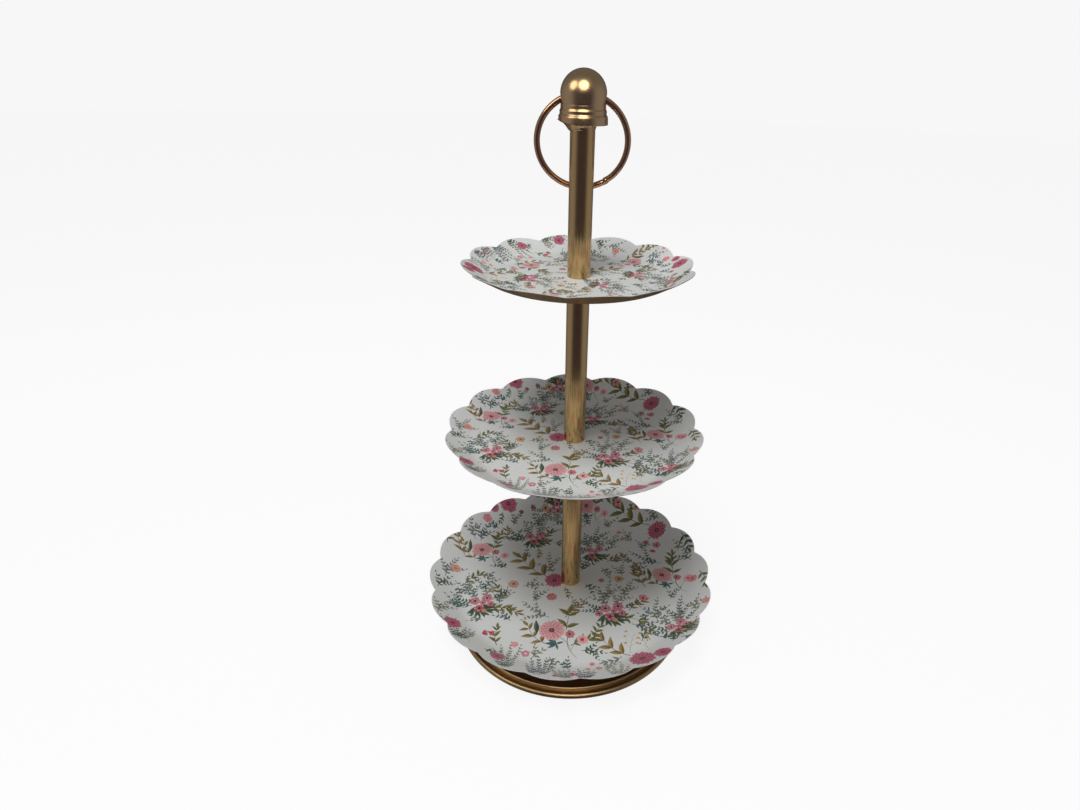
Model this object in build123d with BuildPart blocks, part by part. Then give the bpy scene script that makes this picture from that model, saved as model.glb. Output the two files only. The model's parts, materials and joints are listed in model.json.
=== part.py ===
"""Three-tier cake stand: scalloped trays on a screwed gold post, with a spun foot and a ring handle."""

from build123d import *
from math import asin, cos, degrees, radians, sin, sqrt, tan
import os

os.makedirs("parts", exist_ok=True)

# Driving dimensions, in millimetres. The origin is on the floor, on the post's axis, with +Z up.
SHEET = 1.0  # trays' sheet steel
POST_R, POST_WALL = 10.0, 1.0  # gold post tubes
THREAD_R = 4.0  # M8 studs and bolt, cut as plain shanks
THREAD_GAP = 0.05  # stud to tapped bore, on the radius
CLEAR_R = 4.3  # clearance holes for the M8 thread
INSERT_LENGTH = 14.0
INSERT_GAP = 0.05  # tapped insert to tube bore, on the radius
WASHER_R, WASHER_THICK = 9.4, 0.8  # fibre washers that keep metal off the enamel

FLOOR_Z = {"lower": 41.0, "middle": 214.0, "upper": 374.0}  # top face of each tray's floor
CUSP_R = {"lower": 141.1, "middle": 115.7, "upper": 93.8}  # notches between scallops
CUSP_RISE = {"lower": 13.0, "middle": 10.4, "upper": 10.2}  # height of the notches over the floor
SCALLOPS = {"lower": 18, "middle": 14, "upper": 12}
NOTCH_DEG = {"lower": -5.6, "middle": 4.0, "upper": -5.2}  # direction of the first notch from +X
SCALLOP_BULGE = 6.0  # crest of a scallop outside its notches
NOTCH_ROUND = 1.2
WALL_DEG = 30.0  # slope of the trays' rim
WALL_BEND_R = 25.0

FOOT_SHEET = 1.2
FOOT_BEAD_AT, FOOT_BEAD_R = (116.0, 2.9), 3.0  # rolled edge, ground flat where it meets the floor
FOOT_SMALL_BEAD_AT, FOOT_SMALL_BEAD_R = (110.9, 6.5), 1.8

CAP_TOP_Z, CAP_DOME_R = 536.5, 18.1
CAP_DOME_Z = CAP_TOP_Z - CAP_DOME_R
CAP_LIP_Z = 496.0
CAP_BORE_R, CAP_DOME_WALL = 16.0, 1.4
COLLAR_Z = (497.8, 503.0)  # brass collar between post and cap
BRAZE_FOOT_Z = 491.5

RING_R, RING_WIRE_R = 36.5, 2.5
PIVOT_Z, PIVOT_HALF_CHORD = 514.3, 16.9  # side holes of the cap, at mid wall
PIVOT_HOLE_R = 4.0
RING_REST_GAP = 0.15  # ring to post, where it leans
RING_JOINT_DEG, RING_JOINT_GAP_DEG = -50.0, 2.4  # brazed ends of the ring's wire


def washer(name, bottom, thick, outer, inner):
    with BuildPart() as ring:
        with BuildSketch(Plane.XY.offset(bottom)):
            Circle(outer)
            Circle(inner, mode=Mode.SUBTRACT)
        extrude(amount=thick)
    finish(ring, name)


def finish(piece, name):
    piece.part.label = name
    export_step(piece.part, f"parts/{name}.step")


# Spun foot: a sheet that falls from the tray's seat to a rolled edge on the floor
foot_top = FLOOR_Z["lower"] - SHEET - WASHER_THICK
mid_sheet = foot_top - FOOT_SHEET / 2
seat_corner, waist_corner = (29, mid_sheet), (47, 17.0)
edge_end = (FOOT_SMALL_BEAD_AT[0], FOOT_SMALL_BEAD_AT[1] - 0.4)
with BuildPart() as foot:
    with BuildSketch(Plane.XZ) as foot_section:
        with BuildLine():
            sheet_line = FilletPolyline(
                (CLEAR_R, mid_sheet), seat_corner, waist_corner, edge_end, radius=[7, 30]
            )
            offset(sheet_line, amount=FOOT_SHEET / 2, kind=Kind.ARC)
        make_face()
        with BuildLine():
            Polyline(edge_end, FOOT_BEAD_AT, (FOOT_BEAD_AT[0], FOOT_BEAD_AT[1] + 1.2), edge_end, close=True)
        make_face()
        with Locations(FOOT_BEAD_AT):
            Circle(FOOT_BEAD_R)
        with Locations(FOOT_SMALL_BEAD_AT):
            Circle(FOOT_SMALL_BEAD_R)
    revolve(axis=Axis.Z)
    with BuildSketch(Plane.XY.offset(-5)):
        Circle(150)
    extrude(amount=5, mode=Mode.SUBTRACT)
    with BuildSketch(Plane.XY.offset(foot_top - 4)):
        Circle(CLEAR_R)
    extrude(amount=8, mode=Mode.SUBTRACT)
finish(foot, "foot")

# Bolt from below, with a plain and a split washer, that draws foot and lower tray to the lower post
plate_bottom = foot_top - FOOT_SHEET
washer("base_washer", plate_bottom - 1.6, 1.6, 12, CLEAR_R)
split_bottom = plate_bottom - 3.6
with BuildPart() as base_spring_washer:
    with BuildSketch(Plane.XY.offset(split_bottom)):
        Circle(7.2)
        Circle(CLEAR_R, mode=Mode.SUBTRACT)
        with Locations((6, 0)):
            Rectangle(6, 0.8, rotation=12, mode=Mode.SUBTRACT)
    extrude(amount=2)
finish(base_spring_washer, "base_spring_washer")

bolt_tip = FLOOR_Z["lower"] + INSERT_LENGTH - 3
with BuildPart() as base_bolt:
    with BuildSketch(Plane.XY.offset(split_bottom - 5.3)):
        RegularPolygon(6.5, 6, major_radius=False)
    extrude(amount=5.3)
    chamfer(base_bolt.edges().group_by(Axis.Z)[0], 0.5)
    with BuildSketch(Plane.XY.offset(split_bottom)):
        Circle(THREAD_R)
    extrude(amount=bolt_tip - split_bottom)
    chamfer(base_bolt.edges().group_by(Axis.Z)[-1], 0.8)
finish(base_bolt, "base_bolt")

# Fibre washers under the three trays
for tier, name in (("lower", "foot_gasket"), ("middle", "middle_tray_washer"), ("upper", "upper_tray_washer")):
    washer(name, FLOOR_Z[tier] - SHEET - WASHER_THICK, WASHER_THICK, WASHER_R, CLEAR_R)

# Trays: a flat-floored dish with a sloping rim, trimmed to scallops
for tier, floor in FLOOR_Z.items():
    slope, count = radians(WALL_DEG), SCALLOPS[tier]
    crest_r = CUSP_R[tier] + SCALLOP_BULGE
    bend_r = CUSP_R[tier] - CUSP_RISE[tier] / tan(slope)
    under_bend_r = bend_r + SHEET * tan(slope / 2)
    past_r = crest_r + 5
    under_past = (past_r + SHEET * sin(slope), floor + (past_r - bend_r) * tan(slope) - SHEET * cos(slope))
    with BuildPart() as tray:
        with BuildSketch(Plane.XZ):
            with BuildLine():
                top = FilletPolyline(
                    (CLEAR_R, floor), (bend_r, floor), (past_r, floor + (past_r - bend_r) * tan(slope)),
                    radius=WALL_BEND_R,
                )
                under = FilletPolyline(
                    (CLEAR_R, floor - SHEET), (under_bend_r, floor - SHEET), under_past,
                    radius=WALL_BEND_R + SHEET,
                )
                Line(top @ 0, under @ 0)
                Line(top @ 1, under @ 1)
            make_face()
        revolve(axis=Axis.Z)
        with BuildSketch(Plane.XY.offset(floor - 10)) as outline:
            with BuildLine():
                for lobe in range(count):
                    start, middle, end = (
                        NOTCH_DEG[tier] + 360 / count * (lobe + part) for part in (0, 0.5, 1)
                    )
                    ThreePointArc(
                        Vector(CUSP_R[tier], 0).rotate(Axis.Z, start),
                        Vector(crest_r, 0).rotate(Axis.Z, middle),
                        Vector(CUSP_R[tier], 0).rotate(Axis.Z, end),
                    )
            make_face()
            fillet(outline.vertices(), NOTCH_ROUND)
        extrude(amount=60, mode=Mode.INTERSECT)
    finish(tray, f"{tier}_tray")

# Post tubes, each with a tapped insert brazed into its ends, and the studs that join them
tube_span = {
    "lower": (FLOOR_Z["lower"], FLOOR_Z["middle"] - SHEET - WASHER_THICK),
    "middle": (FLOOR_Z["middle"], FLOOR_Z["upper"] - SHEET - WASHER_THICK),
    "upper": (FLOOR_Z["upper"], COLLAR_Z[1]),
}
bore_r = POST_R - POST_WALL
for tier, (low, high) in tube_span.items():
    with BuildPart() as tube:
        with BuildSketch(Plane.XY.offset(low)):
            Circle(POST_R)
            Circle(bore_r, mode=Mode.SUBTRACT)
        extrude(amount=high - low)
    finish(tube, f"{tier}_post_tube")
    washer(f"{tier}_post_bottom_insert", low, INSERT_LENGTH, bore_r - INSERT_GAP, THREAD_R + THREAD_GAP)
    if tier != "upper":
        washer(
            f"{tier}_post_top_insert", high - INSERT_LENGTH, INSERT_LENGTH,
            bore_r - INSERT_GAP, THREAD_R + THREAD_GAP,
        )

for tier in ("middle", "upper"):
    low = FLOOR_Z[tier] - SHEET - WASHER_THICK - INSERT_LENGTH + 2
    with BuildPart() as stud:
        with BuildSketch(Plane.XY.offset(low)):
            Circle(THREAD_R)
        extrude(amount=FLOOR_Z[tier] + INSERT_LENGTH - 2 - low)
        chamfer(stud.edges().filter_by(GeomType.CIRCLE), 0.8)
    finish(stud, f"{tier}_stud")

# Plug that closes the top of the upper tube, and the collar that centres the cap on it
with BuildPart() as upper_post_top_plug:
    with BuildSketch(Plane.XY.offset(COLLAR_Z[1] - 8)):
        Circle(bore_r - INSERT_GAP)
    extrude(amount=8)
finish(upper_post_top_plug, "upper_post_top_plug")
washer("finial_collar", COLLAR_Z[0], COLLAR_Z[1] - COLLAR_Z[0], CAP_BORE_R, POST_R)

# Finial: a hollow domed cap with two steps and a flared lip, drilled across for the ring
neck, upper_step, groove, flare = (17.2, 511.0), (18.5, 507.0), (18.3, 505.8), (20.0, 500.7)
lip = (19.8, CAP_LIP_Z)
inner_dome_r = CAP_DOME_R - CAP_DOME_WALL
with BuildPart() as finial_cap:
    with BuildSketch(Plane.XZ):
        with BuildLine():
            RadiusArc((0, CAP_TOP_Z), (CAP_DOME_R, CAP_DOME_Z), CAP_DOME_R)
            ThreePointArc((CAP_DOME_R, CAP_DOME_Z), (17.8, 514.6), neck)
            ThreePointArc(neck, (18.1, 509.0), upper_step)
            Line(upper_step, groove)
            ThreePointArc(groove, (19.4, 503.6), flare)
            Polyline(flare, lip, (CAP_BORE_R, CAP_LIP_Z), (CAP_BORE_R, PIVOT_Z - 2))
            Line((CAP_BORE_R, PIVOT_Z - 2), (inner_dome_r, CAP_DOME_Z))
            RadiusArc((inner_dome_r, CAP_DOME_Z), (0, CAP_DOME_Z + inner_dome_r), -inner_dome_r)
            Line((0, CAP_DOME_Z + inner_dome_r), (0, CAP_TOP_Z))
        make_face()
    revolve(axis=Axis.Z)
    with BuildSketch(Plane.YZ.offset(-30)):
        with Locations((0, PIVOT_Z)):
            Circle(PIVOT_HOLE_R)
    extrude(amount=60, mode=Mode.SUBTRACT)
finish(finial_cap, "finial_cap")

# Brazing metal: a concave fillet from the cap's mouth down on to the post
with BuildPart() as finial_braze:
    with BuildSketch(Plane.XZ):
        with BuildLine():
            ThreePointArc((POST_R, BRAZE_FOOT_Z), (11.6, 495.2), (CAP_BORE_R - 0.4, COLLAR_Z[0]))
            Polyline((CAP_BORE_R - 0.4, COLLAR_Z[0]), (POST_R, COLLAR_Z[0]), (POST_R, BRAZE_FOOT_Z))
        make_face()
    revolve(axis=Axis.Z)
finish(finial_braze, "finial_braze")

# Ring handle: round wire through the cap's side holes, leaning on the back of the upper post
pivot_to_centre = sqrt(RING_R**2 - PIVOT_HALF_CHORD**2)
lean = asin((POST_R + RING_WIRE_R + RING_REST_GAP) / (pivot_to_centre + RING_R))
ring_centre = Vector(0, pivot_to_centre * sin(lean), PIVOT_Z - pivot_to_centre * cos(lean))
ring_plane = Plane(origin=ring_centre, x_dir=(1, 0, 0), z_dir=(0, -cos(lean), -sin(lean)))


ring_axis = Axis(ring_centre, ring_plane.z_dir)


def wire_section_plane(angle):
    out = ring_plane.x_dir * cos(radians(angle)) + ring_plane.y_dir * sin(radians(angle))
    return Plane(origin=ring_centre + out * RING_R, x_dir=out, z_dir=ring_plane.z_dir.cross(out))


with BuildPart() as handle_ring:
    with BuildSketch(wire_section_plane(RING_JOINT_DEG + RING_JOINT_GAP_DEG / 2)):
        Circle(RING_WIRE_R)
    revolve(axis=ring_axis, revolution_arc=360 - RING_JOINT_GAP_DEG)
finish(handle_ring, "handle_ring")

# Brazed bead that closes the ring: it fills the gap and swells a little over both ends
BEAD_HALF_DEG, BEAD_SWELL = 4.0, 0.35
with BuildPart() as ring_braze:
    with BuildSketch(wire_section_plane(RING_JOINT_DEG - BEAD_HALF_DEG)):
        Circle(RING_WIRE_R + BEAD_SWELL)
    revolve(axis=ring_axis, revolution_arc=2 * BEAD_HALF_DEG)
    add(handle_ring.part, mode=Mode.SUBTRACT)
finish(ring_braze, "ring_braze")

print("ring centre", ring_centre, "lean", round(degrees(lean), 2))
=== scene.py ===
"""Tiered cake stand: printed enamel trays on a polished gold post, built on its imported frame."""

import cmath
import json
import math
import random

import bpy
from mathutils import Matrix, Vector
from mathutils.geometry import delaunay_2d_cdt


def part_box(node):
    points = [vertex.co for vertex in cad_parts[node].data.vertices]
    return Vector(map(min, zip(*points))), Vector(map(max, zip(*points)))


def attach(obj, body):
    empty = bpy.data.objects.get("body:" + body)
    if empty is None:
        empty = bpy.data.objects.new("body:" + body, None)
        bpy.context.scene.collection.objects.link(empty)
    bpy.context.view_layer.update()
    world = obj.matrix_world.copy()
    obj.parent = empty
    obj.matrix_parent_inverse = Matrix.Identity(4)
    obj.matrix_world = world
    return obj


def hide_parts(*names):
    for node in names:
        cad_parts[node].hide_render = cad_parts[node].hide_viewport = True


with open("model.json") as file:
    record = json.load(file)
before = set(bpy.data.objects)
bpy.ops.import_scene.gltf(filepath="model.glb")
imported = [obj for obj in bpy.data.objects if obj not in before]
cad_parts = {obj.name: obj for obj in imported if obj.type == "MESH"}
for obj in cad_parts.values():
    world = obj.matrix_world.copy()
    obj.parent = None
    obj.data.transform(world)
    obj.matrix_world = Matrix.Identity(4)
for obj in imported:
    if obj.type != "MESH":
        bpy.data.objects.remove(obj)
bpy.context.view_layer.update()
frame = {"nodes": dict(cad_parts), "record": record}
MM = 0.001

# Camera: stands in front of the stand at the height of its finial, and looks down on the trays.
# It leans a little to one side, and its frame is shifted a little off the lens's axis.
CAMERA_PLACE = Vector((0.0, -0.5688, 0.5344))
CAMERA_YAW, CAMERA_PITCH, CAMERA_ROLL = 0.009, 0.440, 0.031
ahead = Vector((
    math.sin(CAMERA_YAW) * math.cos(CAMERA_PITCH),
    math.cos(CAMERA_YAW) * math.cos(CAMERA_PITCH),
    -math.sin(CAMERA_PITCH),
))
level = Vector((math.cos(CAMERA_YAW), -math.sin(CAMERA_YAW), 0))
upright = level.cross(ahead)
rolled = level * math.cos(CAMERA_ROLL) + upright * math.sin(CAMERA_ROLL)
bpy.ops.object.select_all(action="DESELECT")
bpy.ops.object.camera_add()
camera = bpy.context.object
camera.matrix_world = (
    Matrix.Translation(CAMERA_PLACE)
    @ Matrix((rolled, rolled.cross(ahead), -ahead)).transposed().to_4x4()
)
camera.data.sensor_width = 36.0
camera.data.lens = 22.56
camera.data.shift_x, camera.data.shift_y = -0.0381, -0.0147
camera.data.clip_start = 0.02
bpy.context.scene.camera = camera
bpy.context.scene.view_settings.view_transform = "Standard"

# Studio: a pale paper floor that runs out into a white backdrop. It isn't seen in the metal, which
# reflects the room instead: dim in front and behind, lit at the sides and from the ceiling.
FLOOR_RADIUS = 9.0
bpy.ops.object.select_all(action="DESELECT")
bpy.ops.mesh.primitive_circle_add(vertices=128, radius=FLOOR_RADIUS, fill_type="NGON")
floor = bpy.context.object
floor.name = "studio_floor"
floor.visible_glossy = False
floor.visible_diffuse = False

paper = bpy.data.materials.new("floor_paper")
paper.use_nodes = True
nodes, links = paper.node_tree.nodes, paper.node_tree.links
sheet = nodes["Principled BSDF"]
sheet.inputs["Base Color"].default_value = (0.12, 0.12, 0.12, 1)
sheet.inputs["Roughness"].default_value = 0.9
sheet.inputs["Specular IOR Level"].default_value = 0.0
sheet.inputs["Emission Color"].default_value = (1, 1, 1, 1)
sheet.inputs["Emission Strength"].default_value = 0.90
floor.data.materials.append(paper)


def plan_length(tree, source):
    """The length of a vector in plan, with its height left out."""
    flat, length = (tree.nodes.new("ShaderNodeVectorMath") for _ in range(2))
    flat.operation, length.operation = "MULTIPLY", "LENGTH"
    flat.inputs[1].default_value = (1, 1, 0)
    tree.links.new(source, flat.inputs[0])
    tree.links.new(flat.outputs[0], length.inputs[0])
    return length.outputs["Value"]


room = bpy.data.worlds.new("room")
bpy.context.scene.world = room
room.use_nodes = True
nodes, links = room.node_tree.nodes, room.node_tree.links
nodes.clear()
direction = nodes.new("ShaderNodeTexCoord")
split = nodes.new("ShaderNodeSeparateXYZ")
links.new(direction.outputs["Generated"], split.inputs[0])
front_to_back = nodes.new("ShaderNodeMath")  # direction in plan, -1 to the front, 1 to the back
front_to_back.operation = "DIVIDE"
links.new(split.outputs["Y"], front_to_back.inputs[0])
links.new(plan_length(room.node_tree, direction.outputs["Generated"]), front_to_back.inputs[1])
to_share = nodes.new("ShaderNodeMapRange")
to_share.inputs["From Min"].default_value = -1
links.new(front_to_back.outputs[0], to_share.inputs["Value"])
walls = nodes.new("ShaderNodeValToRGB")
for place, shade in (
    (0.0, (0.062, 0.052, 0.078)), (0.08, (0.074, 0.064, 0.088)), (0.14, (0.120, 0.110, 0.124)),
    (0.24, (0.27, 0.265, 0.285)), (0.36, (0.335, 0.325, 0.34)), (0.62, (0.335, 0.32, 0.325)),
    (0.84, (0.23, 0.215, 0.21)),
):
    stop = walls.color_ramp.elements.new(place) if place else walls.color_ramp.elements[0]
    stop.color = (*shade, 1)
walls.color_ramp.elements[-1].color = (0.05, 0.042, 0.038, 1)
links.new(to_share.outputs[0], walls.inputs[0])
overhead = nodes.new("ShaderNodeMapRange")
overhead.interpolation_type = "SMOOTHSTEP"
overhead.inputs["From Min"].default_value = 0.05
overhead.inputs["From Max"].default_value = 0.75
links.new(split.outputs["Z"], overhead.inputs["Value"])
ceiling = nodes.new("ShaderNodeMix")
ceiling.data_type = "RGBA"
ceiling.inputs["B"].default_value = (0.20, 0.20, 0.195, 1)
links.new(overhead.outputs[0], ceiling.inputs["Factor"])
links.new(walls.outputs[0], ceiling.inputs["A"])
seen = nodes.new("ShaderNodeLightPath")
lit_room, white_backdrop = nodes.new("ShaderNodeBackground"), nodes.new("ShaderNodeBackground")
links.new(ceiling.outputs["Result"], lit_room.inputs["Color"])
lit_room.inputs["Strength"].default_value = 1.0
white_backdrop.inputs["Color"].default_value = (0.93, 0.93, 0.93, 1)
either, world_out = nodes.new("ShaderNodeMixShader"), nodes.new("ShaderNodeOutputWorld")
links.new(seen.outputs["Is Camera Ray"], either.inputs[0])
links.new(lit_room.outputs[0], either.inputs[1])
links.new(white_backdrop.outputs[0], either.inputs[2])
links.new(either.outputs[0], world_out.inputs[0])


def lamp(name, way, distance, size, power, in_metal):
    """A soft light in a direction from the stand: square for the enamel, or round for the metal."""
    aim = Vector((0, 0, 0.25))
    place = aim + Vector(way).normalized() * distance
    bpy.ops.object.select_all(action="DESELECT")
    facing = (place - aim).to_track_quat("Z", "Y").to_euler()
    bpy.ops.object.light_add(type="AREA", location=place, rotation=facing)
    light = bpy.context.object
    light.name = name
    light.data.size = size
    light.data.energy = power
    light.visible_glossy, light.visible_diffuse = in_metal, not in_metal
    if in_metal:
        light.data.shape, light.data.color = "DISK", (1.0, 0.93, 0.76)


lamp("key_softbox", (-0.15, -0.39, 0.90), 1.9, 0.75, 21.5, False)
lamp("front_fill", (0.1, -1.0, 0.35), 2.2, 1.2, 2.5, False)
lamp("ceiling_lamp", (0.0, -0.72, 0.70), 2.2, 1.65, 27, True)
lamp("window", (-0.68, -0.39, 0.62), 2.2, 1.3, 11, True)


# Floral print: a ceramic transfer of watercolour flowers, laid out one by one on the lower tray in
# millimetres and repeated smaller on the others. Each stroke is an outline with a shaded colour.
def pigment(red, green, blue):
    def linear(value):
        value /= 255
        return value / 12.92 if value <= 0.04045 else ((value + 0.055) / 1.055) ** 2.4
    return tuple(linear(value) for value in (red, green, blue))


def mixed(one, other, share):
    return tuple(a + (b - a) * share for a, b in zip(one, other))


ROSE, BLUSH, CORAL = pigment(218, 132, 142), pigment(248, 206, 204), pigment(222, 120, 124)
CRIMSON, RASPBERRY, WINE = pigment(170, 58, 92), pigment(220, 126, 152), pigment(104, 34, 54)
PEACH, OCHRE, STRAW = pigment(230, 168, 126), pigment(182, 146, 88), pigment(208, 186, 128)
OLIVE, OLIVE_DARK = pigment(146, 142, 88), pigment(74, 80, 46)
GREEN, GREEN_DARK = pigment(104, 124, 98), pigment(44, 62, 50)
TEAL, TEAL_DARK = pigment(98, 134, 130), pigment(42, 76, 78)
GREY, GREY_DARK = pigment(150, 158, 148), pigment(88, 102, 92)
SLATE, SLATE_DARK = pigment(112, 124, 130), pigment(58, 72, 80)
STEM = pigment(70, 76, 60)
HUES = {
    "olive": (OLIVE, OLIVE_DARK), "ochre": (pigment(182, 154, 98), pigment(96, 82, 48)),
    "green": (GREEN, GREEN_DARK), "teal": (TEAL, TEAL_DARK), "grey": (GREY, GREY_DARK),
    "slate": (SLATE, SLATE_DARK), "moss": (pigment(164, 164, 142), pigment(112, 118, 98)),
}
BOUGH_LEAFLET = 5.0
DAHLIA_RINGS = 4
hand = random.Random(7)
strokes = []


def paint(outline, near, far=None, start=0j, end=1j):
    """One stroke: its colour runs from near, at start, to far, at end."""
    strokes.append((outline, near, far or near, start, end))


def wobble(spread):
    return 1 + hand.uniform(-spread, spread)


def blade(base, reach, width, bow=0.0, belly=0.8, steps=4):
    """Left side, spine and right side of a pointed shape from base to base + reach."""
    left, spine, right = [], [], []
    for step in range(steps + 1):
        along = step / steps
        point = base + reach * (along + 1j * bow * math.sin(math.pi * along))
        half = reach * 1j * width / 2 * math.sin(math.pi * along**belly)
        spine.append(point)
        left.append(point + half)
        right.append(point - half)
    return left, spine, right


def petal(base, reach, width, near, far, belly, edge=None, steps=4):
    """A pointed shape shaded from near to far, over a slightly larger one in the edge colour."""
    if edge:
        left, _, right = blade(base, reach * 1.04, width * 1.3, belly=belly, steps=steps)
        paint(left + right[-2:0:-1], edge)
    left, _, right = blade(base, reach, width, belly=belly, steps=steps)
    paint(left + right[-2:0:-1], near, far, base, base + reach)


def leaf(base, reach, hue, width=0.34, bow=0.0):
    """Two halves that meet at a rib, the right one in shadow."""
    light, dark = HUES[hue]
    left, spine, right = blade(base, reach, width * wobble(0.12), bow, steps=5)
    tint = hand.uniform(0, 0.35)
    tip = base + reach
    paint(spine + left[-2:0:-1], mixed(light, dark, tint + 0.2), mixed(light, dark, tint * 0.4), base, tip)
    paint(spine + right[-2:0:-1], mixed(light, dark, 0.85), mixed(light, dark, tint + 0.3), base, tip)
    rib = reach * 1j * 0.02
    paint([spine[0] + rib, spine[0] - rib, spine[4]], dark)


def stalk(start, reach, bow, width, shade=STEM, steps=5):
    """A thin tapering stem that bows to one side."""
    sides = ([], [])
    for step in range(steps + 1):
        along = step / steps
        point = start + reach * (along + 1j * bow * math.sin(math.pi * along))
        across = reach / abs(reach) * 1j * width / 2 * (1 - 0.6 * along)
        sides[0].append(point + across)
        sides[1].append(point - across)
    paint(sides[0] + sides[1][::-1], shade, mixed(shade, GREY, 0.3), start, start + reach)


def along_stalk(start, reach, bow, share):
    """The point a share of the way along a bowed stem."""
    return start + reach * (share + 1j * bow * math.sin(math.pi * share))


def twig(start, reach, hue, pairs, leaf_share, width, bow, spread=44, first=0.2):
    """A stem with opposite leaves and one at its tip."""
    stalk(start, reach * 0.92, bow, 0.8, HUES[hue][1])
    for pair in range(pairs):
        share = first + (0.86 - first) * pair / max(1, pairs - 1)
        joint = along_stalk(start, reach * 0.92, bow, share)
        for side in (1, -1):
            turn = cmath.rect(1, math.radians(side * spread * wobble(0.15)))
            size = leaf_share * (1 - 0.35 * abs(share - 0.45)) * wobble(0.12)
            leaf(joint + reach * 0.012 * side, reach * size * turn, hue, width, -0.07 * side)
    leaf(along_stalk(start, reach * 0.92, bow, 1), reach * leaf_share * 0.8, hue, width)


def fern(start, reach, hue, bow, leaflet, gap=4.6, spread=42):
    """A feathery sprig of small leaves, a few millimetres apart on a thin stem."""
    light, dark = HUES[hue]
    stalk(start, reach, bow, 0.62, dark)
    pairs = max(2, round(abs(reach) * 0.85 / gap))
    way = reach / abs(reach)
    for pair in range(pairs + 1):
        share = 1 - 0.85 * (pairs - pair) / pairs
        joint = along_stalk(start, reach, bow, share)
        for side in (1, -1) if pair < pairs else (0.1,):
            size = leaflet * (1.15 - 0.45 * share) * wobble(0.2)
            leaflet_reach = way * cmath.rect(size, math.radians(side * spread * wobble(0.2)))
            left, _, right = blade(joint, leaflet_reach, 0.44, steps=3)
            shade = mixed(light, dark, hand.uniform(0, 0.7))
            paint(left + right[-2:0:-1], mixed(shade, dark, 0.5), shade, joint, joint + leaflet_reach)


def bough(start, reach, hue, sides=2):
    """A branching sprig: a stem with one or two smaller ones at its sides."""
    for k in range(sides):
        side = 1 - 2 * k
        joint = along_stalk(start, reach, 0.07, 0.12 + 0.2 * k)
        arm = reach * cmath.rect((0.66 - 0.1 * k) * wobble(0.1), math.radians(side * 44 * wobble(0.15)))
        fern(joint, arm, hue, -0.08 * side, BOUGH_LEAFLET * 0.92, 4.4)
    fern(start, reach, hue, 0.07, BOUGH_LEAFLET)


def dot(centre, radius, shade, sides):
    paint([centre + cmath.rect(radius, 2 * math.pi * k / sides) for k in range(sides)], shade)


def dahlia(centre, radius, tip, deep, core, petals, turn):
    """A full flower: rings of petals, pale at the tip and deeper where the next ring lies on them."""
    for ring in range(DAHLIA_RINGS):
        share, count = 1 - 0.2 * ring, petals - 3 * ring
        for k in range(count):
            way = turn + 2 * math.pi * (k + 0.5 * (ring % 2)) / count + hand.uniform(-0.06, 0.06)
            reach = cmath.rect(radius * share * wobble(0.08), way)
            outer = mixed(mixed(tip, deep, 0.06 * ring), deep, hand.uniform(0, 0.2))
            edge = mixed(deep, core, 0.12 + 0.12 * ring) if ring < DAHLIA_RINGS - 1 else None
            petal(centre + reach * 0.25, reach * 0.75, 7.0 / count * 0.92, mixed(deep, core, 0.5), outer,
                  1.25, edge, 4 if ring < 2 else 3)
    dot(centre, radius * 0.2, core, 10)
    for k in range(7):
        reach = cmath.rect(radius * hand.uniform(0.16, 0.34), turn + 0.9 * k)
        left, _, right = blade(centre + reach * 0.2, reach, 0.24, steps=2)
        paint(left + right[-2:0:-1], core)
    for k in range(4):
        speck = centre + cmath.rect(radius * hand.uniform(0.03, 0.14), 1.6 * k)
        dot(speck, radius * 0.035, mixed(STRAW, GREY, 0.4), 5)


def pompom(centre, radius, turn):
    """A deep pink flower of narrow petals."""
    dahlia(centre, radius, mixed(RASPBERRY, BLUSH, 0.15), CRIMSON, WINE, 16, turn)


def blossom(centre, radius, tip, deep, core, petals, turn=0.0):
    """A small open flower with a dark eye."""
    for k in range(petals):
        reach = cmath.rect(radius * wobble(0.08), turn + 2 * math.pi * k / petals)
        outer = mixed(tip, BLUSH, hand.uniform(0.1, 0.5))
        petal(centre + reach * 0.08, reach * 0.92, 3.9 / petals, deep, outer, 1.7,
              mixed(deep, tip, 0.3), 3 if radius < 4.5 else 4)
    dot(centre, radius * 0.27, core, 8)
    for k in range(4):
        dot(centre + cmath.rect(radius * 0.36, turn + 0.6 + 1.571 * k), radius * 0.06, STRAW, 3)


def bud(centre, reach):
    """A flower seen from the side, four petals fanned out from one point."""
    for swing in (-38, -14, 12, 36):
        way = reach * cmath.rect(wobble(0.1), math.radians(swing))
        petal(centre, way, 0.34, CRIMSON, mixed(CORAL, CRIMSON, hand.uniform(0, 0.3)), 1.4)


def berries(start, reach, shade=STRAW, branches=6):
    """A light sprig with a berry at the end of each branch."""
    stalk(start, reach, 0.05, 0.45, mixed(shade, STEM, 0.35))
    for k in range(branches):
        joint = along_stalk(start, reach, 0.05, 0.25 + 0.7 * k / branches)
        way = reach * cmath.rect(0.34 * wobble(0.2), math.radians((-1) ** k * 46))
        stalk(joint, way, 0.05, 0.35, mixed(shade, STEM, 0.2), 4)
        for lean in (-0.25, 0.25):
            tip = joint + way * (1 + 0.3j * lean)
            dot(tip, 1.0 * wobble(0.3), mixed(shade, OCHRE, hand.uniform(0, 0.5)), 7)


def tuft(start, height, hue, stems, fan=44, dotted=None):
    """Grass-like stems that spread from one foot, with a few seeds."""
    for k in range(stems):
        way = height * cmath.rect(wobble(0.18), math.radians(fan * (k / (stems - 1) - 0.5)))
        foot = start + way * 1j * 0.04 * (k - stems / 2)
        fern(foot, way, hue, 0.05 * (k - stems / 2), 4.2, 3.8, 38)
        if dotted:
            dot(foot + way * 1.06, 0.9, dotted, 6)


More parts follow.
